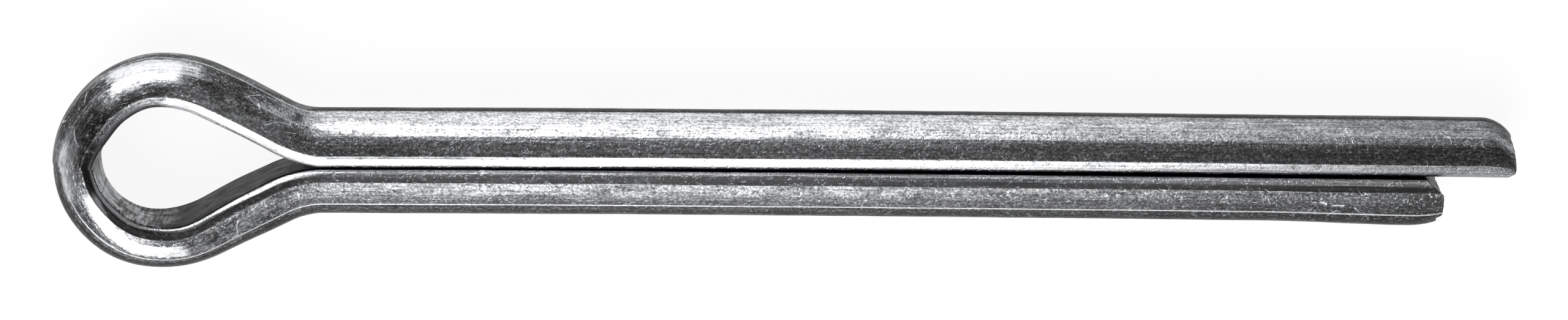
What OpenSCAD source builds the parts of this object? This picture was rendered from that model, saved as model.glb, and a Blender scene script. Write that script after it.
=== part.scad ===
// Cotter pin: one length of half-round wire, bent double with its flat inside.
// The bend is opened into an eye, and the two prongs lie flat to flat to make a round shank.
// The pin lies on its side: the shank runs along +X, and the eye lies in the XY plane.
// Origin: on the shank's axis at the neck, where the two flats come together.

/* [Wire] */
// Diameter of the round shank that the two prongs make together
shank_d = 5.8; // [3:0.1:8]
// Radius of the two long edges of the wire's flat
edge_r = 0.6; // [0.2:0.05:0.7]
// Hairline left between the two flats at the neck
seam = 0.04; // [0.03:0.01:0.2]

/* [Eye] */
// Height inside the eye, from flat to flat
eye_height = 6.1; // [5:0.1:12]
// Radius of the eye's shoulders, where its round back turns into the arms, along the flat
shoulder_r = 5.0; // [3.5:0.1:7]
// Slope of the arms that run from the eye to the neck, in degrees from the shank
arm_angle = 26; // [22:0.5:32]
// Radius of the bends at the neck, along the flat
neck_r = 6.5; // [5.5:0.1:8]

/* [Prongs] */
// Length of the short prong, from the neck to its end
short_prong = 61.5; // [10:0.1:120]
// How far the long prong reaches past the short one
extension = 4.0; // [1:0.1:8]
// Angle by which each prong leans away from the shank's axis, in degrees
splay = 0.04; // [0:0.01:0.5]
// How far before its end each prong's crown starts to round off
nose_len = 1.65; // [0.5:0.05:1.9]
// Radius of that rounding
nose_r = 2.0; // [1.9:0.1:4]
// Bevel on the flat at the end of the short prong, which lets a blade in between the prongs
lead_in = 0.85; // [0.2:0.05:1.2]

/* [Hidden] */
$fn = 96;

crown_r = shank_d / 2;
eye_r = eye_height / 2;

// Each straight run ends a little way inside the bends that it joins, and the bends are fuller
// than the runs by a hair, so that no two surfaces of the wire lie on each other.
lap = 0.2;
hair = 0.01;

// The flat of a neck bend starts on the arm and ends at the neck, along the prong
bend_centre = [0, seam / 2] + neck_r * [-sin(splay), cos(splay)];
bend_start = bend_centre - neck_r * [sin(arm_angle), cos(arm_angle)];

// The arm's flat joins that point to the end of the shoulder, so its length follows from the rise
shoulder_rise = eye_r - shoulder_r * (1 - cos(arm_angle));
arm_len = (shoulder_rise - bend_start[1]) / sin(arm_angle);
shoulder_end = bend_start + arm_len * [-cos(arm_angle), sin(arm_angle)];
eye_x = shoulder_end[0] - shoulder_r * sin(arm_angle);

// Section of the wire: x is the height above the flat, y runs across it.
// The centre of each edge's arc lies on the ray to the point where that arc meets the crown.
module wire_section(fuller = 0) {
    edge_y = sqrt(pow(crown_r - edge_r, 2) - pow(edge_r, 2));
    ray = 2 * crown_r * [edge_r, edge_y] / (crown_r - edge_r);
    intersection() {
        circle(crown_r + fuller);
        polygon([[0, 0], [ray[0], -ray[1]], [ray[1], -ray[1]], [ray[1], ray[1]], ray]);
    }
    translate([-fuller, -edge_y]) square([edge_r + fuller, 2 * edge_y]);
    for (side = [-1, 1])
        translate([edge_r, side * edge_y]) circle(edge_r + fuller);
}

// A straight run along +X from the origin, its flat down, let into what it joins at both ends
module run(length) {
    rotate([90, 0, 90]) translate([0, 0, -lap]) linear_extrude(length + 2 * lap) wire_section();
}

// A bend about the origin, with the wire's flat towards the centre
module bend(radius, start, angle) {
    rotate_extrude(angle = angle, start = start)
        translate([radius, 0]) wire_section(fuller = hair);
}

// A bend about the origin, with the wire's crown towards the centre
module back_bend(radius, start, angle) {
    rotate_extrude(angle = angle, start = start)
        translate([radius, 0]) mirror([1, 0]) wire_section(fuller = hair);
}

module eye() {
    translate([eye_x, 0]) {
        bend(eye_r, 90, 180);
        translate([0, eye_r - shoulder_r]) bend(shoulder_r, 90 - arm_angle, arm_angle);
        translate([0, shoulder_r - eye_r]) bend(shoulder_r, -90, arm_angle);
    }
}

// What is cut off the end of a prong: all past its length, the crown's corner and the flat's corner.
// The nose starts a hair above the crown, so that it crosses the crown and does not graze it.
module end_waste(length, bevel) {
    beyond = 2 * shank_d;
    nose = [length - nose_len, crown_r - nose_r + hair];
    linear_extrude(beyond, center = true) {
        translate([length, -beyond / 2]) square(beyond);
        difference() {
            translate(nose) square(beyond);
            translate(nose) circle(nose_r);
        }
        translate([length - bevel, 0])
            polygon([[-bevel, -bevel], [2 * bevel, -bevel], [2 * bevel, 2 * bevel]]);
    }
}

// One side of the shank: a prong, the bend at the neck and the arm up to the eye
module side(length, bevel) {
    translate([0, seam / 2]) rotate(splay)
        difference() {
            run(length + shank_d);
            end_waste(length, bevel);
        }
    translate(bend_centre)
        back_bend(neck_r, -90 - arm_angle, arm_angle + splay);
    translate(shoulder_end) rotate(-arm_angle) run(arm_len);
}

module cotter_pin() {
    color("silver") {
        eye();
        side(short_prong + extension, edge_r / 3);
        mirror([0, 1]) side(short_prong, lead_in);
    }
}

cotter_pin();
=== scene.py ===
"""Cotter pin of half-round wire: forms the wire, plates it and stands it in a small studio."""

import math

import bmesh
import bpy
from mathutils import Matrix, Vector, noise


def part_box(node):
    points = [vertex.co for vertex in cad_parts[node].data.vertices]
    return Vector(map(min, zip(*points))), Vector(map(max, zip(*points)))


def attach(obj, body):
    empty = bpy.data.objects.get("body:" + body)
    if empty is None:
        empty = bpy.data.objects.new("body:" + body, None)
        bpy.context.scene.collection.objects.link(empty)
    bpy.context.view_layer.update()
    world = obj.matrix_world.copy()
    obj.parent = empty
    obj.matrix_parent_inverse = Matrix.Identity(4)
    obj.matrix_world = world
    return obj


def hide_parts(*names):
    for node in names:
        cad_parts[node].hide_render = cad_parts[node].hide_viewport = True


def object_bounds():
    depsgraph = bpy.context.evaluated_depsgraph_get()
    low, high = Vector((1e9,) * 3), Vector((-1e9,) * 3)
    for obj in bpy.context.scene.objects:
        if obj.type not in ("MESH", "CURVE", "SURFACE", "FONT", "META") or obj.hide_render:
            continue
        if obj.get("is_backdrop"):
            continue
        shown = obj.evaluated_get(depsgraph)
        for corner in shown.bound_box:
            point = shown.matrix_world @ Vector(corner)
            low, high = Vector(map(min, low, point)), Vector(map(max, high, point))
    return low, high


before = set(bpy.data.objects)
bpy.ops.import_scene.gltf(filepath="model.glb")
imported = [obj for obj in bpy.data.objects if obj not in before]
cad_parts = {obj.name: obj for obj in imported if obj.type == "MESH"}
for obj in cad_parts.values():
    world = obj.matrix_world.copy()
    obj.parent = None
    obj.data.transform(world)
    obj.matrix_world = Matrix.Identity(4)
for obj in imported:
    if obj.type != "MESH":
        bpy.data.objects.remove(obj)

bl_info = {
    "name": "Cotter Pin",
    "version": (1, 0, 0),
    "blender": (4, 5, 0),
    "location": "View3D > Sidebar > Cotter Pin",
    "description": "Builds a cotter pin of half-round wire and a small studio to show it in",
    "category": "Add Mesh",
}

MM = 0.001
CAD_NODE = "cotter_pin"
CAD_LOW, CAD_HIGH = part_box(CAD_NODE)
BOX_AT_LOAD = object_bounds()

CROWN_SEGMENTS = 116
FLAT_CUTS = 13
END_RINGS = (0.96, 0.9, 0.8, 0.68, 0.54, 0.38, 0.2)

# The die's raised line: degrees from the crown's middle, half its width, and its share of the radius.
DIE_LINE = 44.0
DIE_HALF = 3.0
DIE_HEIGHT = 0.004

# Hand forming is given in stations of (millimetres from the middle of the eye, value). EYE_OUT is how far
# the flat stands out from a true bend, EYE_THICK is the wire's thickness, and EYE_TWIST is in degrees.
EYE_REACH = 14.3
EYE_OUT = {
    "long": (
        (0.0, 0.42),
        (1.6, -0.03),
        (3.2, 0.07),
        (4.8, 0.33),
        (8.0, 0.40),
        (11.0, 0.36),
        (12.7, 0.23),
        (14.3, 0.0),
    ),
    "short": ((0.0, 0.42), (1.6, 0.45), (3.2, 0.31), (4.8, 0.13), (8.0, -0.09), (9.5, -0.13), (14.3, 0.0)),
}
EYE_THICK = {
    "long": ((0.0, 2.44), (1.6, 2.75), (4.8, 2.58), (8.0, 2.64), (11.0, 2.58), (12.7, 2.68), (14.3, 2.9)),
    "short": ((0.0, 2.44), (1.6, 2.60), (3.2, 2.73), (6.4, 2.73), (9.5, 2.91), (12.7, 2.93), (14.3, 2.9)),
}
EYE_TWIST = (
    (0.0, -1.0),
    (1.6, -3.6),
    (2.6, -3.4),
    (4.2, 0.0),
    (6.0, 3.8),
    (8.0, 4.0),
    (11.0, 2.6),
    (14.3, 0.0),
)

# The arm that twists turns about a line this share of the crown's radius below its middle.
HINGE = 0.8

# How far the flats part at their upper edges, in millimetres. The parting and the short prong's flare
# each start at a share of the long prong's length, and take the next share to reach their full size.
GAPE = {"long": 0.04, "short": 0.05}
GAPE_START, GAPE_SPAN = 0.19, 0.36
FLARE_START, FLARE_SPAN = 0.78, 0.14

# A cut face from the side: (share of the way from flat to crown, millimetres that it stands proud). The
# two ends also differ in how much of the nose's rounding and of the flat's bevel they have.
SHEARED_FACE = {
    "long": ((0.0, -0.18), (0.2, 0.0), (0.6, 0.0), (0.85, -0.06), (0.94, -0.1), (1.0, -0.05)),
    "short": (
        (0.0, 0.0),
        (0.4, 0.1),
        (0.62, 0.1),
        (0.78, 0.05),
        (0.84, -0.16),
        (0.88, -0.24),
        (0.92, -0.16),
        (1.0, -0.24),
    ),
}
ROUNDING = {"long": 1.0, "short": 0.28}
BEVEL = {"long": 0.25, "short": 1.0}

# Fine strokes that cross: slope in degrees, length, spacing and thickness in mm, share covered, and seed.
STROKES = (
    (58.0, 0.36, 0.28, 0.10, 0.36, 1.0),
    (100.0, 0.34, 0.26, 0.10, 0.36, 4.0),
    (-40.0, 0.42, 0.30, 0.09, 0.34, 7.0),
    (15.0, 0.50, 0.28, 0.08, 0.34, 13.0),
)

# The scratches that stand out: middle along the wire in mm, turn and slope in degrees, length and width
# in mm. Above 0 along the wire is the long prong's side.
SCRATCHES = (
    (-8.7, 58.9, -64.0, 1.1, 0.05),
    (-8.3, 47.8, 2.0, 0.5, 0.12),
    (9.3, 32.6, -51.0, 1.0, 0.05),
    (9.8, 43.3, 52.0, 0.5, 0.05),
    (10.8, 56.2, -46.0, 0.9, 0.05),
    (11.6, 47.8, -13.0, 1.0, 0.05),
    (11.8, 21.2, 64.0, 1.1, 0.05),
    (12.2, 17.7, 36.0, 1.1, 0.04),
    (12.2, 57.0, -8.0, 0.8, 0.04),
    (1.3, 19.2, 63.0, 0.6, 0.09),
    (1.2, 52.9, -65.0, 0.8, 0.06),
    (2.3, 30.8, -67.0, 0.7, 0.04),
    (70.6, 32.5, 90.0, 0.5, 0.05),
    (74.9, 73.1, 90.0, 0.5, 0.06),
    (76.0, 42.3, 59.0, 1.0, 0.05),
    (78.0, 49.7, 66.0, 0.4, 0.05),
    (-69.3, 61.4, 12.0, 0.45, 0.2),
    (-70.1, 58.7, 3.0, 0.65, 0.12),
    (-71.1, 52.5, 41.0, 0.5, 0.06),
    (-71.7, 47.8, 9.0, 0.8, 0.04),
)


def length(name, description, default):
    """A length that the user can change, kept in metres."""
    return bpy.props.FloatProperty(
        name=name, description=description, default=default, unit="LENGTH", precision=5, min=0.0
    )


def angle(name, description, degrees):
    """An angle that the user can change."""
    return bpy.props.FloatProperty(
        name=name, description=description, default=math.radians(degrees), subtype="ANGLE"
    )


def amount(name, description, default, top=1.0):
    """A plain number from nought to top."""
    return bpy.props.FloatProperty(name=name, description=description, default=default, min=0.0, max=top)


def colour(name, description, default):
    """A colour that the user can change."""
    return bpy.props.FloatVectorProperty(
        name=name, description=description, default=default, size=3, subtype="COLOR", min=0.0, max=1.0
    )


class PinWireProps(bpy.types.PropertyGroup):
    """Sizes of the formed wire."""

    shank_d: length("Shank", "Diameter of the round shank that the two prongs make", 0.0058)
    crown_end: angle("Crown reach", "How far round each side the crown goes before its edge begins", 76.0)
    edge_lean: angle("Edge lean", "How far the flat strip along an edge leans towards the flat", 15.0)
    edge_r: length("Edge", "Radius between the strip along an edge and the flat", 0.0007)
    seam: length("Seam", "Hairline between the two flats at the neck", 0.00004)
    eye_height: length("Eye height", "Height inside the eye, from flat to flat", 0.0061)
    shoulder_r: length("Shoulder", "Radius of the eye's shoulders, along the flat", 0.005)
    arm_angle: angle("Arm slope", "Slope of the arms from the eye to the neck", 26.0)
    neck_r: length("Neck", "Radius of the bends at the neck, along the flat", 0.0065)
    extension: length("Extension", "How far the long prong reaches past the short one", 0.004)
    nose_len: length("Nose length", "Length over which the crown rounds off at a prong's end", 0.00165)
    nose_r: length("Nose radius", "Radius of the rounding at a prong's end", 0.002)
    lead_in: length("Lead-in", "Bevel on the flat at the end of the short prong", 0.00085)
    sag: length("Sag", "How far the end of the long prong hangs to one side", 0.00059)
    flare: length("Flare", "How far the end of the short prong stands out from the shank", 0.00017)


class PinFinishProps(bpy.types.PropertyGroup):
    """Look of the plating."""

    plating: colour("Plating", "Colour of the clean plating", (0.70, 0.71, 0.73))
    grime: amount("Grime", "How dark the pores and hollows are", 1.0)
    scuffs: amount("Scuffs", "How bright the short scratches are", 0.26)
    roughness: amount("Roughness", "Roughness of the clean plating", 0.14)
    grazing: amount("Grazing sheen", "How bright the plating is where it is seen nearly edge-on", 0.55)


class PinStudioProps(bpy.types.PropertyGroup):
    """Floor, lamps and camera."""

    floor: colour("Floor", "Colour of the floor", (0.94, 0.94, 0.94))
    evenness: amount("Evenness", "How even and white the floor looks: at 1 it shows no shadow", 0.86)
    key: amount("Key lamp", "Brightness of the large lamp at the eye's lower side", 3.2, 20.0)
    rim: amount("Rim lamp", "Brightness of the low lamp along the long prong", 3.2, 20.0)
    fill: amount("Fill lamp", "Brightness of the dim lamp along the short prong", 0.6, 20.0)
    room: amount("Room", "Brightness of the room", 0.2, 2.0)
    tilt: angle("Camera tilt", "Angle of the camera away from straight above", 11.0)
    distance: length("Camera distance", "Distance from the camera to the pin", 0.3473)
    aim: length("Camera aim", "Distance of the middle of the view from the neck", 0.02549)
    view_width: length("View width", "Width of the floor that the camera sees", 0.08633)


# --- Forming the wire ------------------------------------------------------------------------


def eased(t):
    """Turns a share from 0 to 1 into an eased one."""
    t = min(max(t, 0.0), 1.0)
    return t * t * (3.0 - 2.0 * t)


def at(stations, x):
    """Value at x of an even curve through (x, value) stations."""
    if x <= stations[0][0]:
        return stations[0][1]
    for i in range(len(stations) - 1):
        (x0, v0), (x1, v1) = stations[i], stations[i + 1]
        if x <= x1:
            before = stations[max(i - 1, 0)]
            after = stations[min(i + 2, len(stations) - 1)]
            span = x1 - x0
            m0 = (v1 - before[1]) / (x1 - before[0]) * span
            m1 = (after[1] - v0) / (after[0] - x0) * span
            t = (x - x0) / span
            return (
                (2 * t**3 - 3 * t**2 + 1) * v0
                + (t**3 - 2 * t**2 + t) * m0
                + (3 * t**2 - 2 * t**3) * v1
                + (t**3 - t**2) * m1
            )
    return stations[-1][1]


def spun(v, turn):
    """A flat vector turned anticlockwise."""
    c, s = math.cos(turn), math.sin(turn)
    return Vector((v.x * c - v.y * s, v.x * s + v.y * c))


class Place:
    """Where a vertex lies on the straight wire: along it, above its flat and across it."""

    def __init__(self, along, above, across, outward, cut=0.0):
        self.along = along
        self.above = above
        self.across = across
        self.outward = outward
        self.cut = cut


class WireFormer:
    """Takes a section through runs and bends, and notes where each vertex lies on the straight wire.

    The wire's crown is on the left of the way that it goes, and its flat on the right.
    """

    def __init__(self, bm, section, point, heading):
        self.bm = bm
        self.ring = section
        self.point = point
        self.heading = heading
        self.gone = 0.0
        self.places = []

    def ring_verts(self):
        """The vertices of the open ring, each once and in a steady order."""
        return list({v: None for e in self.ring for v in e.verts})

    def carry(self, steps, move, centre, turn):
        """Makes the next rings of the wire's skin."""
        made = bmesh.ops.spin(
            self.bm,
            geom=self.ring_verts() + self.ring,
            cent=centre.to_3d(),
            axis=(0, 0, 1),
            dvec=move.to_3d(),
            angle=turn,
            steps=steps,
            use_merge=False,
            use_duplicate=False,
        )
        self.ring = [g for g in made["geom_last"] if isinstance(g, bmesh.types.BMEdge)]

    def note(self, measure, cut=0.0):
        """Keeps the place of each new vertex, in order. measure gives it from the vertex's point."""
        self.bm.verts.ensure_lookup_table()
        for v in self.bm.verts[len(self.places) :]:
            along, above, outward = measure(v.co.xy)
            self.places.append(Place(self.gone + along, above, v.co.z, outward, cut))

    def run(self, steps, reach):
        """Straight on."""
        start = self.point
        forward, left = spun(Vector((1.0, 0.0)), self.heading), spun(Vector((0.0, 1.0)), self.heading)
        self.carry(1, forward * reach, start, 0.0)
        rim = set(self.ring)
        rungs = {e: None for v in self.ring_verts() for e in v.link_edges if e not in rim}
        bmesh.ops.subdivide_edges(self.bm, edges=list(rungs), cuts=steps - 1)
        self.note(lambda co: ((co - start).dot(forward), (co - start).dot(left), left))
        self.point = start + forward * reach
        self.gone += reach

    def bend(self, steps, radius, turn):
        """Round a bend: a turn above 0 closes the crown in, and one below 0 closes the flat in."""
        side = math.copysign(1.0, turn)
        spoke = spun(Vector((0.0, -side)), self.heading)
        centre = self.point - spoke * radius

        def measure(co):
            arm = co - centre
            cross = spoke.x * arm.y - spoke.y * arm.x
            swept = side * math.atan2(cross, spoke.dot(arm))
            return radius * swept, side * (radius - arm.length), -side * arm.normalized()

        self.carry(steps, Vector((0.0, 0.0)), centre, turn)
        self.note(measure)
        self.point = centre + spun(spoke, turn) * radius
        self.heading += turn
        self.gone += radius * abs(turn)


def wire_section(bm, wire, point, heading):
    """Half-round outline, its flat's middle at the point and its crown on the left.

    A narrow strip runs along each edge of the crown, where the rolls pressed it, and a small radius
    joins it to the flat. The die left a fine raised line halfway down each side of the crown.
    """
    crown_r, crown_end, lean = wire.shank_d / 2.0, wire.crown_end, wire.edge_lean
    strip_start = crown_r * math.cos(crown_end)
    corner_z = crown_r * math.sin(crown_end) - strip_start * math.tan(lean)
    corner_reach = wire.edge_r * math.tan((math.pi / 2.0 - lean) / 2.0)

    made = bmesh.ops.create_circle(bm, cap_ends=False, segments=CROWN_SEGMENTS, radius=crown_r)
    bmesh.ops.rotate(bm, verts=made["verts"], cent=(0, 0, 0), matrix=Matrix.Rotation(math.pi / 2, 3, "Y"))
    bmesh.ops.bisect_plane(
        bm,
        geom=list(bm.verts) + list(bm.edges),
        plane_co=(0, strip_start, 0),
        plane_no=(0, 1, 0),
        clear_inner=True,
        dist=crown_r * 1e-5,
    )
    for v in bm.verts:
        off = abs(math.degrees(math.atan2(abs(v.co.z), v.co.y)) - DIE_LINE)
        v.co *= 1.0 + DIE_HEIGHT * max(1.0 - off / DIE_HALF, 0.0)
    ends = [v for v in bm.verts if len(v.link_edges) == 1]
    strip = Vector((strip_start, abs(ends[0].co.z)))
    corners = bmesh.ops.extrude_vert_indiv(bm, verts=ends)["verts"]
    for v in corners:
        v.co = Vector((0.0, 0.0, math.copysign(corner_z, v.co.z)))
    flat = bmesh.ops.contextual_create(bm, geom=corners)["edges"]
    bmesh.ops.subdivide_edges(bm, edges=flat, cuts=FLAT_CUTS)

    # The corner takes its full radius, and the strip's other side is only softened.
    knees = ((Vector((0.0, corner_z)), corner_reach, 9), (strip, wire.edge_r * 0.12, 2))
    for knee, reach, segments in knees:
        bmesh.ops.bevel(
            bm,
            geom=[v for v in bm.verts if (Vector((v.co.y, abs(v.co.z))) - knee).length < crown_r * 1e-4],
            offset=reach,
            offset_type="OFFSET",
            affect="VERTICES",
            segments=segments,
            profile=0.5,
            material=-1,
        )
    bmesh.ops.remove_doubles(bm, verts=bm.verts, dist=crown_r * 1e-4)
    bmesh.ops.rotate(bm, verts=bm.verts, cent=(0, 0, 0), matrix=Matrix.Rotation(heading, 3, "Z"))
    bmesh.ops.translate(bm, verts=bm.verts, vec=point.to_3d())
    return list(bm.edges)


def close_end(former, ring, point, heading):
    """Closes an open end with rings that shrink towards the middle of the section."""
    bm = former.bm
    former.ring = ring
    left = spun(Vector((0.0, 1.0)), heading)
    verts = former.ring_verts()
    middle = sum((v.co for v in verts), Vector()) / len(verts)
    reach = 1.0
    for size in END_RINGS:
        made = bmesh.ops.extrude_edge_only(bm, edges=former.ring)["geom"]
        former.ring = [g for g in made if isinstance(g, bmesh.types.BMEdge)]
        shrink = Matrix.Translation(middle) @ Matrix.Scale(size / reach, 4) @ Matrix.Translation(-middle)
        bmesh.ops.transform(bm, verts=former.ring_verts(), matrix=shrink)
        former.note(lambda co: (0.0, (co - point).dot(left), left), 1.0 - size)
        reach = size
    bmesh.ops.contextual_create(bm, geom=former.ring)


def prong_of(place, middle):
    """The prong on whose side of the eye's middle a place lies."""
    return "long" if place.along > middle else "short"


def hand_bent(verts, places, wire, middle):
    """Bends the eye as by hand: its flat wanders, its wire is drawn thinner, and one arm twists."""
    crown_r = wire.shank_d / 2.0
    for v, place in zip(verts, places):
        prong = prong_of(place, middle)
        reach = abs(place.along - middle) / MM
        if reach > EYE_REACH:
            continue
        stretch = at(EYE_THICK[prong], reach) * MM / crown_r - 1.0
        out = at(EYE_OUT[prong], reach) * MM + place.above * stretch
        if prong == "short":
            turn = math.radians(at(EYE_TWIST, reach))
            height = place.above * (1.0 + stretch)
            arm = place.across + HINGE * crown_r
            out += arm * math.sin(turn) - height * (1.0 - math.cos(turn))
            v.co.z -= height * math.sin(turn) + arm * (1.0 - math.cos(turn))
        v.co += (place.outward * out).to_3d()


def sprung(verts, places, wire, middle, long_end):
    """Both prongs sag to one side, their flats part on the upper face, and the short one's end flares."""
    crown_r = wire.shank_d / 2.0
    for v, place in zip(verts, places):
        prong = prong_of(place, middle)
        share = max(v.co.x, 0.0) / long_end
        v.co.y -= wire.sag * share**1.5
        gape = GAPE[prong] * MM * eased((share - GAPE_START) / GAPE_SPAN)
        lift = max(place.across, 0.0) / crown_r * max(1.0 - place.above / crown_r, 0.0)
        v.co += (place.outward * gape * lift).to_3d()
        if prong == "short":
            flare = wire.flare * eased((share - FLARE_START) / FLARE_SPAN)
            v.co += (place.outward * flare * place.above / crown_r).to_3d()


def sheared_ends(verts, places, wire, middle, total):
    """Rounds the crown over at both ends, bevels the flat, and leans and roughens the cut faces."""
    crown_r = wire.shank_d / 2.0
    reach = 2.0 * wire.nose_len
    for v, place in zip(verts, places):
        prong = prong_of(place, middle)
        end = total - place.along if prong == "long" else place.along
        if end > reach:
            continue
        near = wire.nose_len - end
        height = min(place.above / crown_r, 1.0)
        drop = 0.0
        if near > 0.0:
            drop = (wire.nose_r - math.sqrt(wire.nose_r**2 - near**2)) * ROUNDING[prong]
            v.co -= (place.outward * place.above * drop / crown_r).to_3d()
            v.co.z *= 1.0 - 0.5 * drop / crown_r * height
        v.co.x += at(SHEARED_FACE[prong], height) * MM * eased(1.0 - end / reach)
        lift = wire.lead_in * BEVEL[prong] - end - place.above * (1.0 - drop / crown_r)
        if lift > 0.0:
            v.co += (place.outward * lift).to_3d()
        if place.cut > 0.0:
            grain = noise.fractal(v.co * 2600.0, 1.0, 2.0, 4)
            v.co.x += (0.07 * grain - 0.05 * eased(place.cut * 2.0)) * MM * eased(place.cut * 12.0)


def uneven(verts, places):
    """Drawn wire is never quite true: long soft waves run along it, and smaller ones lie over them."""
    for v, place in zip(verts, places):
        p = Vector((place.along / MM * 0.16, place.above / MM * 0.45, place.across / MM * 0.45))
        wave = 0.014 * noise.noise(p) + 0.007 * noise.noise(p * 3.1 + Vector((7.0, 3.0, 1.0)))
        v.co += v.normal * wave * MM


class PIN_OT_wire(bpy.types.Operator):
    """Forms the cotter pin from one length of half-round wire"""

    bl_idname = "mesh.cotter_pin_wire"
    bl_label = "Form the Wire"

    def execute(self, context):
        wire = context.scene.pin_wire
        bm = bmesh.new()
        on_wire = bm.verts.layers.float_vector.new("wire_place")
        long_end = CAD_HIGH.x
        short_end = long_end - wire.extension
        start = Vector((short_end, -wire.seam / 2.0))
        first = wire_section(bm, wire, start, math.pi)
        former = WireFormer(bm, first, start, math.pi)

        eye_r = wire.eye_height / 2.0
        lean = wire.arm_angle
        nose = wire.nose_len * 1.25
        rise = eye_r - (wire.shoulder_r + wire.neck_r) * (1.0 - math.cos(lean)) - wire.seam / 2.0
        arm = rise / math.sin(lean)
        quarter = math.pi / 2.0

        # Each run and bend says first how many rings it is made of.
        former.run(30, nose)
        former.run(150, short_end - nose)
        former.bend(26, wire.neck_r, lean)
        former.run(20, arm)
        former.bend(20, wire.shoulder_r, -lean)
        former.bend(56, eye_r, -quarter)
        middle = former.gone
        former.bend(56, eye_r, -quarter)
        former.bend(20, wire.shoulder_r, -lean)
        former.run(20, arm)
        former.bend(26, wire.neck_r, lean)
        former.run(160, long_end - nose)
        former.run(30, nose)
        total = former.gone

        close_end(former, former.ring, former.point, former.heading)
        former.gone = 0.0
        close_end(former, first, start, math.pi)
        bmesh.ops.recalc_face_normals(bm, faces=bm.faces)
        hand_bent(bm.verts, former.places, wire, middle)
        sprung(bm.verts, former.places, wire, middle, long_end)
        sheared_ends(bm.verts, former.places, wire, middle, total)
        bm.normal_update()
        uneven(bm.verts, former.places)

        for v, place in zip(bm.verts, former.places):
            v[on_wire] = (Vector((place.along - middle, place.above, place.across)) / MM)[:]
        mesh = bpy.data.meshes.new("pin_wire")
        for face in bm.faces:
            face.smooth = True
        bm.to_mesh(mesh)
        bm.free()
        mesh.materials.append(plated_steel(context.scene.pin_finish, wire.shank_d / 2.0 / MM))
        piece = bpy.data.objects.new("pin_wire", mesh)
        context.scene.collection.objects.link(piece)
        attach(piece, "root")
        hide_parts(CAD_NODE)
        return {"FINISHED"}


# --- Plating ---------------------------------------------------------------------------------


class Flow:
    """A number socket of a node tree, with the sums that are done on it."""

    def __init__(self, tree, socket):
        self.tree = tree
        self.socket = socket

    def math(self, operation, *others, clamp=False, first=None):
        """A Math node on this and the others, or on first and this."""
        node = self.tree.nodes.new("ShaderNodeMath")
        node.operation = operation
        node.use_clamp = clamp
        values = (self, *others) if first is None else (first, self)
        for slot, value in zip(node.inputs, values):
            if isinstance(value, Flow):
                self.tree.links.new(value.socket, slot)
            else:
                slot.default_value = value
        return Flow(self.tree, node.outputs[0])

    def __add__(self, other):
        return self.math("ADD", other)

    def __sub__(self, other):
        return self.math("SUBTRACT", other)

    def __mul__(self, other):
        return self.math("MULTIPLY", other)

    def __rsub__(self, other):
        return self.math("SUBTRACT", first=other)

    def __abs__(self):
        return self.math("ABSOLUTE")

    __radd__ = __add__
    __rmul__ = __mul__

    def between(self, low, high):
        """Goes evenly from 0 at low to 1 at high."""
        width = high - low
        return self.math("MULTIPLY_ADD", 1.0 / width, -low / width, clamp=True)

    def near(self, centre, half, soft):
        """1 within half of the centre, with soft edges."""
        return abs(self - centre).between(half + soft, half)


def strongest(masks):
    """The strongest of several masks at each point."""
    top, *others = masks
    for mask in others:
        top = top.math("MAXIMUM", mask)
    return top


class Shading:
    """Makes the nodes of one material."""

    def __init__(self, name):
        self.material = bpy.data.materials.new(name)
        self.material.use_nodes = True
        self.tree = self.material.node_tree
        self.tree.nodes.clear()

    def node(self, kind, settings=None, sockets=None, outs=(0,)):
        """Any node: its settings are made first, then its sockets are filled. outs are what it gives."""
        node = self.tree.nodes.new(kind)
        for name, value in (settings or {}).items():
            setattr(node, name, value)
        for name, value in (sockets or {}).items():
            if isinstance(value, Flow):
                self.tree.links.new(value.socket, node.inputs[name])
            else:
                node.inputs[name].default_value = value
        if not node.outputs:
            return None
        flows = [Flow(self.tree, node.outputs[name]) for name in outs]
        return flows[0] if len(flows) == 1 else flows

    def split(self, vector):
        """The three parts of a vector."""
        return self.node("ShaderNodeSeparateXYZ", {}, {"Vector": vector}, ("X", "Y", "Z"))


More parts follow.
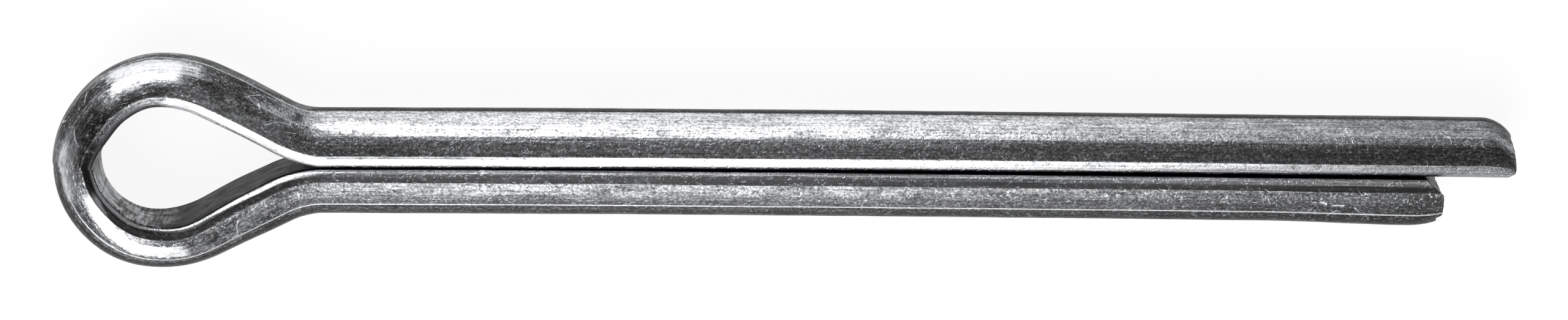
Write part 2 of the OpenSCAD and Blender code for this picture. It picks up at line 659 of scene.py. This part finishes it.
class WireSurface:
    """Patterns that follow the wire.

    along, above and across are a point's place on the straight wire in millimetres. turn is in degrees,
    from 0 at the middle of the crown to 90 at the upper edge of the flat.
    """

    def __init__(self, shading, crown_mm):
        self.shading = shading
        self.crown_mm = crown_mm
        settings = {"attribute_name": "wire_place", "attribute_type": "GEOMETRY"}
        self.place = shading.node("ShaderNodeAttribute", settings, {}, ("Vector",))
        self.along, self.above, self.across = shading.split(self.place)
        self.turn = self.across.math("ARCTAN2", self.above) * math.degrees(1.0)
        drift = 0.45 * (self.grain((1.0, 1.0, 1.0), 1.6, 1.0, 0.5, 31.0) - 0.5)
        sockets = {"X": self.along + drift, "Y": self.turn * math.radians(crown_mm) - 0.7 * drift}
        self.unrolled = shading.node("ShaderNodeCombineXYZ", {}, sockets)

    def grain(self, stretch, scale, detail, rough, seed=0.0):
        """Noise with its scale given in waves to a millimetre, and a stretch along, above and across."""
        offset = (seed, seed * 0.7, seed * 0.3)
        sizes = [scale * k for k in stretch]
        sockets = {"Vector": self.place, "Scale": sizes, "Location": offset}
        moved = self.shading.node("ShaderNodeMapping", {}, sockets)
        sockets = {"Vector": moved, "Scale": 1.0, "Detail": detail, "Roughness": rough}
        return self.shading.node("ShaderNodeTexNoise", {"noise_dimensions": "3D"}, sockets)

    def laid(self, middle, degrees, size):
        """The unrolled surface as a mark has it: from its middle, along its slope and in its own size."""
        sockets = {
            "Vector": self.unrolled,
            "Location": (*middle, 0.0),
            "Rotation": (0.0, 0.0, math.radians(degrees)),
            "Scale": (*size, 1.0),
        }
        return self.shading.node("ShaderNodeMapping", {"vector_type": "TEXTURE"}, sockets)

    def strokes(self, degrees, long, apart, width, share, seed):
        """Short scratches at an angle to the wire, about so long and so far apart, in millimetres."""
        turned = self.laid((seed * 3.1, seed * 1.7), degrees, (long, apart))
        sockets = {"Vector": turned, "Scale": 1.0, "Detail": 0.0}
        field = self.shading.node("ShaderNodeTexNoise", {"noise_dimensions": "2D"}, sockets)
        line = abs(field - 0.5).between(width, width * 0.3)
        gate = self.grain((1.0, 1.0, 1.0), 1.0 / long, 1.0, 0.5, seed + 11.0)
        return line * gate.between(1.0 - share, 1.06 - share)

    def scratch(self, along, turn, degrees, long, width):
        """One scratch, placed by its middle and its slope against the wire."""
        middle = (along, math.radians(turn) * self.crown_mm)
        turned = self.laid(middle, degrees, (long / 2.0, width / 2.0))
        lengthwise, sideways, _ = self.shading.split(turned)
        return abs(lengthwise).between(1.1, 0.7) * abs(sideways).between(1.3, 0.6)


class PlatingGrain:
    """The plating's fine texture, and the strokes and scratches in it."""

    def __init__(self, wire):
        self.drawn = wire.grain((0.02, 1.0, 1.0), 9.0, 3.0, 0.6)
        self.coarse = wire.grain((0.05, 1.0, 1.0), 2.2, 2.0, 0.5, 21.0)
        self.mottle = wire.grain((0.45, 1.0, 1.0), 1.3, 5.0, 0.62, 3.0)
        self.grit = wire.grain((0.85, 1.0, 1.0), 7.5, 3.0, 0.7, 5.0)
        self.pits = wire.grain((0.8, 1.0, 1.0), 3.6, 3.0, 0.7, 9.0).between(0.57, 0.66)
        self.sparks = wire.grain((1.0, 1.0, 1.0), 12.0, 1.0, 0.5, 27.0).between(0.64, 0.72)
        self.strokes = strongest(wire.strokes(*stroke) for stroke in STROKES)
        self.scratches = strongest(wire.scratch(*scratch) for scratch in SCRATCHES)


class PlatingZones:
    """Parts of the wire's skin as masks: 1 inside each part and 0 outside it."""

    def __init__(self, wire, grain):
        along, turn = wire.along, wire.turn
        ragged = 9.0 * (grain.grit - 0.5) + 7.0 * (grain.mottle - 0.5)
        torn = turn + ragged

        # Lengthwise: the eye, the prongs, and the long and the short side of the bend.
        self.eye = abs(along).between(15.0, 12.5)
        self.prong = 1.0 - self.eye
        self.long = along.between(-0.5, 0.5)
        self.short = 1.0 - self.long
        self.long_prong = self.long * self.prong
        self.short_prong = self.short * self.prong

        # Round the section: the flat, the crown, the rounded corner and the pressed strip between them.
        upper = turn.between(-28.0, -12.0)
        self.flat = wire.above.between(0.10, 0.05) * self.short
        self.flat = self.flat + wire.above.between(0.03, 0.01) * self.long
        self.crown = 1.0 - abs(turn).between(74.6, 77.2)
        self.corner = abs(turn).between(81.0, 82.5) * (1.0 - self.flat)
        self.strip = 1.0 - self.crown - self.corner - self.flat

        # Painted highlights: the bright band on the long prong, a patch, a crescent and a glint on the
        # eye, a sheen and an upper face along the long side, and the lit corner line; the scuffed place is
        # part scuffing, part painted highlight.
        band_end = turn.between(45.0, 46.5) * along.between(19.0, 16.5)
        self.band_highlight = turn.near(32.0, 19.5, 2.0) * self.long_prong * (1.0 - band_end)
        self.patch_highlight = torn.near(36.0, 15.0, 5.0) * (along + 0.12 * ragged).near(4.5, 1.05, 0.35)
        climb = turn - 15.0 * along.between(-3.8, -1.6) + ragged * turn.between(60.0, 56.0)
        self.crescent_highlight = climb.near(59.0, 7.0, 2.5) * along.near(-3.6, 2.1, 0.5)
        self.scuffed_highlight = along.near(0.0, 0.9, 0.6) * self.crown * turn.near(52.0, 10.0, 6.0)
        self.sheen = turn.between(57.0, 75.0) * along.near(9.5, 3.5, 1.5) * self.crown
        self.painted_glint = torn.near(32.0, 8.0, 5.0) * along.near(6.0, 0.25, 0.4)
        self.upper_face_highlight = turn.between(62.0, 73.0) * along.between(22.0, 40.0) * self.crown
        lit = turn + 3.5 * along.between(-6.0, -11.5) + 3.0 * along.between(-4.8, -3.4)
        self.lit_corner = lit.between(86.2, 87.6)

        # Painted shade: the sides of the crown first, then places on the eye (dim, lee and shade among
        # them), then the prongs near the neck, at the strip's start and towards their tips. The eye's
        # middle and the noses are only made darker.
        self.long_outer_shade = turn.between(15.5, 11.5) * upper * self.long_prong
        self.short_outer_shade = turn.between(45.5, 42.5) * upper * self.short_prong
        self.short_edge_shade = turn.between(38.0, 28.0) * upper * self.short
        outer_shade = turn.between(46.0, 34.0) * upper * self.eye * (1.0 - self.patch_highlight)
        self.eye_outer_shade = outer_shade * (1.0 - 0.8 * along.near(5.0, 0.9, 0.6))
        self.eye_crown_shade = along.near(1.7, 0.7, 0.5) * self.crown * turn.between(0.0, 14.0)
        self.eye_middle_dark = along.near(0.2, 0.9, 0.6) * turn.between(66.0, 72.0) * turn.between(86.0, 83.0)
        self.lower_arm_shade = along.between(-0.8, -2.2) * self.eye * self.crown * (1.0 - self.crescent_highlight)
        self.dim = along.near(-6.5, 0.9, 0.7) * self.crown
        self.lee = turn.between(64.0, 71.0) * along.near(3.4, 1.6, 1.2) * self.crown
        self.shade = torn.near(33.0, 12.0, 5.0) * along.near(7.7, 1.2, 0.7)
        self.neck = turn.between(52.0, 56.0) * along.near(16.5, 3.0, 3.0) * self.crown
        self.strip_start = turn.between(79.3, 78.0) * along.between(30.0, 22.0) * self.long_prong
        self.tips_shade = along.between(42.0, 74.0) + along.between(-40.0, -74.0) * (1.0 - 0.7 * self.corner)
        nose = along.between(-73.2, -75.0) * turn.between(55.0, 40.0)
        self.nose = nose + along.between(77.5, 79.3) * turn.between(45.0, 30.0)

        # Handling marks on the flat inside the eye.
        self.nick = along.near(-1.3, 0.03, 0.05)
        combed = wire.grain((1.0, 0.1, 0.1), 6.0, 2.0, 0.6, 41.0) * along.near(-4.5, 2.0, 1.0)
        self.combed = combed.between(0.42, 0.60)


def wear_and_painted_light(wire, zone):
    """How bright the plating is from place to place, before its grain is laid over it: painted highlights
    and painted shade over the crown's own tone.
    """
    along, turn = wire.along, wire.turn
    added = (
        (0.50, zone.crown),
        (0.58, zone.band_highlight),
        (0.60, zone.patch_highlight),
        (0.60, zone.crescent_highlight),
        (0.34, zone.scuffed_highlight),
        (0.30, zone.sheen),
        (0.35, zone.painted_glint),
        (0.10, zone.upper_face_highlight),
        (-0.14, zone.neck),
        # Painted shade on the short prong's crown and on a narrow band of the long prong's crown.
        (-0.20, zone.short_prong * zone.crown),
        (-0.07, turn.between(51.0, 54.0) * zone.long_prong * zone.crown),
        (-0.20, zone.lower_arm_shade),
        (-0.06, zone.dim),
        (-0.15, zone.shade),
        (-0.14, zone.short_outer_shade),
        (-0.08, zone.short_edge_shade),
        (-0.46, zone.long_outer_shade),
        (-0.24, zone.eye_outer_shade),
        # Painted highlight on the pressed strip and the corner where they face the lamps, with painted
        # shade on them round the eye and towards the short prong's end; on the eye's short side only the
        # lit corner line is bright.
        (0.95, zone.strip * zone.long),
        (0.42, zone.strip * zone.short_prong),
        (0.16, zone.strip * zone.short * zone.eye),
        (-0.72, zone.strip * zone.long * along.between(6.2, 5.2)),
        (1.00, zone.corner * zone.long * (0.95 - 0.72 * along.near(0.7, 4.3, 0.7))),
        (1.00, zone.corner * zone.short * zone.eye * (0.10 + 0.85 * zone.lit_corner)),
        (0.95, zone.corner * zone.short_prong),
        (-0.50, zone.corner * zone.short_prong * along.between(-72.0, -45.0)),
        # The flat's painted shade, lighter low on the eye's short side.
        (0.04, zone.flat),
        (0.75, zone.flat * zone.short * along.near(-2.2, 1.7, 2.2)),
    )
    # Painted shade multiplied over the above: towards the tips, on the eye and near the neck; the eye's
    # middle and the noses are only made darker.
    darkened = (
        (0.62, zone.tips_shade),
        (0.65, zone.eye_crown_shade),
        (0.50, zone.lee),
        (0.40, zone.strip * zone.long * zone.tips_shade),
        (0.70, zone.nose),
        (0.80, zone.strip * zone.strip_start),
        (0.75, zone.eye_middle_dark),
    )
    bright = sum(share * mask for share, mask in added)
    for share, mask in darkened:
        bright = bright * (1.0 - share * mask)
    return bright


def plating_tone(wire, zone, grain, finish):
    """The plating's brightness with dirt in its pores, strokes and scratches over it, and a painted
    highlight and painted shade along the die lines.
    """
    # Less dirt on the pressed strip and corner and on the painted highlights.
    rubbed_and_highlit = 0.6 * (zone.corner + zone.strip + zone.scuffed_highlight) + 0.5 * (zone.patch_highlight + zone.crescent_highlight)
    dirt = finish.grime * (1.0 - rubbed_and_highlit)
    tone = 1.25 * wear_and_painted_light(wire, zone)
    for share, mask in (
        (0.30 + 0.40 * zone.eye, dirt * grain.mottle.between(0.56, 0.42)),
        (0.55, dirt * grain.grit.between(0.56, 0.40)),
        (0.40, grain.drawn.between(0.58, 0.38)),
        (0.35, dirt * grain.pits),
    ):
        tone = tone * (1.0 - share * mask)

    calm = 0.65 * zone.long_prong + 0.5 * zone.corner + 0.6 * zone.strip + 0.7 * zone.flat
    tone = tone + 0.20 * zone.crown * grain.grit.between(0.56, 0.68)
    tone = tone + finish.scuffs * (1.0 - calm) * grain.strokes
    tone = tone + 0.30 * grain.sparks * zone.eye * zone.crown
    tone = tone + 2.0 * finish.scuffs * grain.scratches
    tone = tone * (1.0 - 0.6 * zone.flat * zone.nick) * (1.0 - 0.8 * zone.flat * zone.combed)

    # Painted highlight beside the die line on the short side, and painted shade on it along the long
    # prong.
    tone = tone + 0.55 * wire.turn.near(DIE_LINE + 1.3, 0.7, 0.6) * zone.short
    die_line_shade = wire.turn.near(DIE_LINE, 0.5, 0.5) * zone.long_prong * wire.along.between(62.0, 50.0)
    tone = tone - 0.25 * die_line_shade
    tone = tone + 0.35 * wire.turn.near(15.5, 0.8, 0.8) * zone.long * zone.eye
    return tone.math("MINIMUM", 1.0).math("MAXIMUM", 0.04)


def plated_steel(finish, crown_mm):
    """Bright plating over drawn steel: draw lines, a die line, grime in the pores, and scratches, and
    painted highlights and painted shade in its colour.
    """
    s = Shading("plated_steel")
    wire = WireSurface(s, crown_mm)
    grain = PlatingGrain(wire)
    zone = PlatingZones(wire, grain)

    tone = plating_tone(wire, zone, grain, finish)
    red, green, blue = (tone * (share / max(finish.plating)) for share in finish.plating)
    colour = s.node("ShaderNodeCombineColor", {}, {"Red": red, "Green": green, "Blue": blue})

    rough = finish.roughness + 0.16 * grain.mottle.between(0.6, 0.36)
    rough = rough + 0.10 * grain.grit + 0.15 * grain.pits
    rough = rough + 0.25 * zone.corner * zone.long * zone.eye + 0.10 * zone.flat
    rough = rough - 0.04 * zone.strip - 0.04 * zone.corner

    die_line = abs(wire.turn).near(DIE_LINE, 0.5, 0.9) * (1.0 - 0.7 * zone.long)
    height = 0.008 * grain.grit + 0.006 * grain.drawn + 0.026 * grain.coarse + 0.020 * grain.mottle
    height = height - 0.010 * grain.pits - 0.006 * grain.strokes - 0.010 * grain.scratches
    height = height + 0.010 * die_line
    bump = s.node("ShaderNodeBump", {}, {"Height": height, "Strength": 1.0, "Distance": MM})

    edge = (finish.grazing, finish.grazing, finish.grazing, 1.0)
    sockets = {
        "Base Color": colour,
        "Metallic": 1.0,
        "Roughness": rough,
        "Specular Tint": edge,
        "Normal": bump,
    }
    shader = s.node("ShaderNodeBsdfPrincipled", {}, sockets)
    s.node("ShaderNodeOutputMaterial", {}, {"Surface": shader})
    return s.material


# --- Studio ----------------------------------------------------------------------------------

FLOOR_HALF = 1.5
FLOOR_GLOW = 1.06
SENSOR_MM = 36.0
LAMP_DISTANCE = 1.0

# Each lamp's name, bearing and height in degrees, its sizes in metres, and its setting and share of it.
LAMPS = (
    ("key", 243.0, 42.0, (0.93, 1.2), "key", 1.0),
    ("rim", 111.0, 13.0, (0.80, 0.46), "rim", 1.0),
    ("high_rim", 124.0, 35.0, (0.42, 0.34), "rim", 0.6),
    ("fill", 290.0, 20.0, (0.8, 0.7), "fill", 1.0),
)


def floor_paint(studio):
    """Pale matt paint that looks nearly even and white, to the eye and in reflections."""
    s = Shading("floor_paint")
    rays = ("Is Camera Ray", "Is Glossy Ray", "Is Transmission Ray")
    seen = strongest(s.node("ShaderNodeLightPath", {}, {}, rays)) * studio.evenness
    paint = s.node("ShaderNodeBsdfDiffuse", {}, {"Color": (*studio.floor, 1.0)})
    white = s.node("ShaderNodeEmission", {}, {"Color": (1.0, 1.0, 1.0, 1.0), "Strength": FLOOR_GLOW})
    mixed = s.node("ShaderNodeMixShader", {}, {0: seen, 1: paint, 2: white})
    s.node("ShaderNodeOutputMaterial", {}, {"Surface": mixed})
    return s.material


def lamp(scene, name, aim, bearing, height, size, brightness):
    """A flat rectangular lamp of an even brightness, turned towards its aim."""
    light = bpy.data.lights.new(name, "AREA")
    light.shape = "RECTANGLE"
    light.size, light.size_y = size
    light.energy = math.pi * brightness * size[0] * size[1]
    bearing, height = math.radians(bearing), math.radians(height)
    level = math.cos(height)
    out = Vector((math.cos(bearing) * level, math.sin(bearing) * level, math.sin(height)))
    piece = bpy.data.objects.new(name, light)
    piece.location = aim + out * LAMP_DISTANCE
    piece.rotation_euler = out.to_track_quat("Z", "Y").to_euler()
    scene.collection.objects.link(piece)


class PIN_OT_studio(bpy.types.Operator):
    """Lays the floor, hangs the lamps and sets up the camera"""

    bl_idname = "scene.cotter_pin_studio"
    bl_label = "Set Up the Studio"

    def execute(self, context):
        scene = context.scene
        studio = scene.pin_studio
        aim = Vector((studio.aim, 0.0, 0.0))

        bm = bmesh.new()
        bmesh.ops.create_grid(bm, x_segments=1, y_segments=1, size=FLOOR_HALF)
        bmesh.ops.translate(bm, verts=bm.verts, vec=(studio.aim, 0.0, CAD_LOW.z))
        mesh = bpy.data.meshes.new("studio_floor")
        bm.to_mesh(mesh)
        bm.free()
        mesh.materials.append(floor_paint(studio))
        floor = bpy.data.objects.new("studio_floor", mesh)
        scene.collection.objects.link(floor)
        floor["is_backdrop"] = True

        for name, bearing, height, size, setting, share in LAMPS:
            lamp(scene, name, aim, bearing, height, size, getattr(studio, setting) * share)

        scene.world = bpy.data.worlds.new("room")
        scene.world.use_nodes = True
        room = scene.world.node_tree.nodes["Background"]
        room.inputs["Color"].default_value = (1.0, 1.0, 1.0, 1.0)
        room.inputs["Strength"].default_value = studio.room

        camera = bpy.data.cameras.new("camera")
        camera.sensor_width = SENSOR_MM
        camera.lens = SENSOR_MM * studio.distance / studio.view_width
        camera.clip_start, camera.clip_end = 0.01, 10.0
        stand = bpy.data.objects.new("camera", camera)
        lean = studio.tilt
        stand.location = aim + Vector((0.0, math.sin(lean), math.cos(lean))) * studio.distance
        stand.rotation_euler = (-lean, 0.0, 0.0)
        scene.collection.objects.link(stand)
        scene.camera = stand
        scene.view_settings.view_transform = "Standard"
        return {"FINISHED"}


class PIN_PT_panel(bpy.types.Panel):
    """Cotter pin panel in the sidebar"""

    bl_label = "Cotter Pin"
    bl_idname = "PIN_PT_panel"
    bl_space_type = "VIEW_3D"
    bl_region_type = "UI"
    bl_category = "Cotter Pin"

    def draw(self, context):
        for title, group, operator in (
            ("Wire", context.scene.pin_wire, PIN_OT_wire.bl_idname),
            ("Finish", context.scene.pin_finish, None),
            ("Studio", context.scene.pin_studio, PIN_OT_studio.bl_idname),
        ):
            box = self.layout.box()
            box.label(text=title)
            for key in group.__annotations__:
                box.prop(group, key)
            if operator:
                box.operator(operator)


CLASSES = (PinWireProps, PinFinishProps, PinStudioProps, PIN_OT_wire, PIN_OT_studio, PIN_PT_panel)
GROUPS = {"pin_wire": PinWireProps, "pin_finish": PinFinishProps, "pin_studio": PinStudioProps}


def register():
    """Makes the settings and the operators known to Blender."""
    for cls in CLASSES:
        bpy.utils.register_class(cls)
    for name, group in GROUPS.items():
        setattr(bpy.types.Scene, name, bpy.props.PointerProperty(type=group))


def unregister():
    """Takes them away again."""
    for name in GROUPS:
        delattr(bpy.types.Scene, name)
    for cls in reversed(CLASSES):
        bpy.utils.unregister_class(cls)


def corners(box):
    """A box as plain lists of numbers."""
    return [list(corner) for corner in box]


def main():
    """Builds the pin and its studio."""
    register()
    bpy.ops.mesh.cotter_pin_wire()
    bpy.ops.scene.cotter_pin_studio()
    {"cad": corners(BOX_AT_LOAD), "visual": corners(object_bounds())}


if __name__ == "__main__":
    main()
